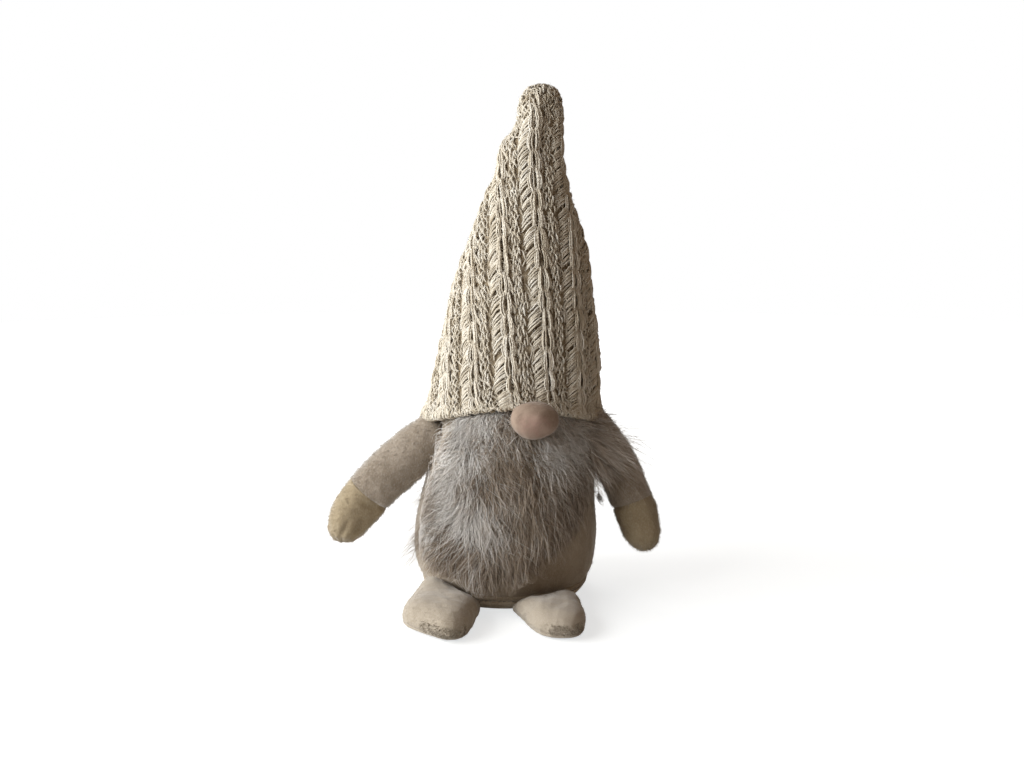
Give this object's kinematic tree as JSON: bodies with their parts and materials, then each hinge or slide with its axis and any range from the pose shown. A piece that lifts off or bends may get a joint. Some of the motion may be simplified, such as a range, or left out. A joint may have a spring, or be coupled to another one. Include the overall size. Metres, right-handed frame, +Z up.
{
  "type": "fabric gnome",
  "caption": "Standing stuffed cloth gnome with a weighted round base, plush arms and feet, a fur beard, a round nose and a tall pointed knitted hat.",
  "frame": {"origin": "centre of the flat underside of the base", "axes": "+Z up towards the tip of the hat, the gnome faces -Y, and +X is to the right of a person who looks at its front. Left and right in the names are as that person sees them."},
  "size_m": [0.1998, 0.1463, 0.3],
  "materials": {
    "taupe_plush": "short taupe velour plush, matt with a soft sheen",
    "beige_plush": "short beige plush, matt with a soft sheen",
    "chunky_knit": "chunky ecru knit of soft plied yarn, matt",
    "beard_fur": "long grey-white faux fur, soft gloss along the hairs",
    "nose_cloth": "fine stretch knit, dusty pink",
    "sewing_thread": "wound polyester thread",
    "fibre_filling": "white polyester fibre filling",
    "pouch_cloth": "plain cotton cloth",
    "pellets": "loose plastic pellets"
  },
  "bodies": {
    "torso": {"body_cover": "taupe_plush", "base_panel": "beige_plush", "pellet_pouch": "pouch_cloth", "pellets": "pellets", "body_filling": "fibre_filling", "knit_hat": "chunky_knit", "hat_filling": "fibre_filling", "nose_cover": "nose_cloth", "nose_filling": "fibre_filling", "nose_thread": "sewing_thread", "beard_band": "beard_fur"},
    "beard_flap": {"beard": "beard_fur"},
    "left_arm": {"left_sleeve": "taupe_plush", "left_mitten": "beige_plush", "left_arm_filling": "fibre_filling"},
    "right_arm": {"right_sleeve": "taupe_plush", "right_mitten": "beige_plush", "right_arm_filling": "fibre_filling"},
    "left_foot": {"left_foot_top": "beige_plush", "left_foot_sole": "beige_plush", "left_foot_filling": "fibre_filling"},
    "right_foot": {"right_foot_top": "beige_plush", "right_foot_sole": "beige_plush", "right_foot_filling": "fibre_filling"}
  },
  "joints": [
    {"name": "beard_lift", "type": "hinge", "parent": "torso", "child": "beard_flap", "pos_m": [0, -0.04449, 0.098], "axis": [-1, 0, 0], "range_deg": [0, 45]},
    {"name": "left_arm_swing", "type": "hinge", "parent": "torso", "child": "left_arm", "pos_m": [-0.042, -0.003, 0.1], "axis": [0, 1, 0], "range_deg": [-10, 30]},
    {"name": "right_arm_swing", "type": "hinge", "parent": "torso", "child": "right_arm", "pos_m": [0.051, -0.003, 0.101], "axis": [0, -1, 0], "range_deg": [-5, 35]},
    {"name": "left_foot_lift", "type": "hinge", "parent": "torso", "child": "left_foot", "pos_m": [-0.0298, -0.0357, 0.004], "axis": [-0.9903, 0.1392, 0], "range_deg": [0, 18]},
    {"name": "right_foot_lift", "type": "hinge", "parent": "torso", "child": "right_foot", "pos_m": [0.0215, -0.0405, 0.004], "axis": [-0.9903, -0.1392, 0], "range_deg": [0, 18]}
  ]
}
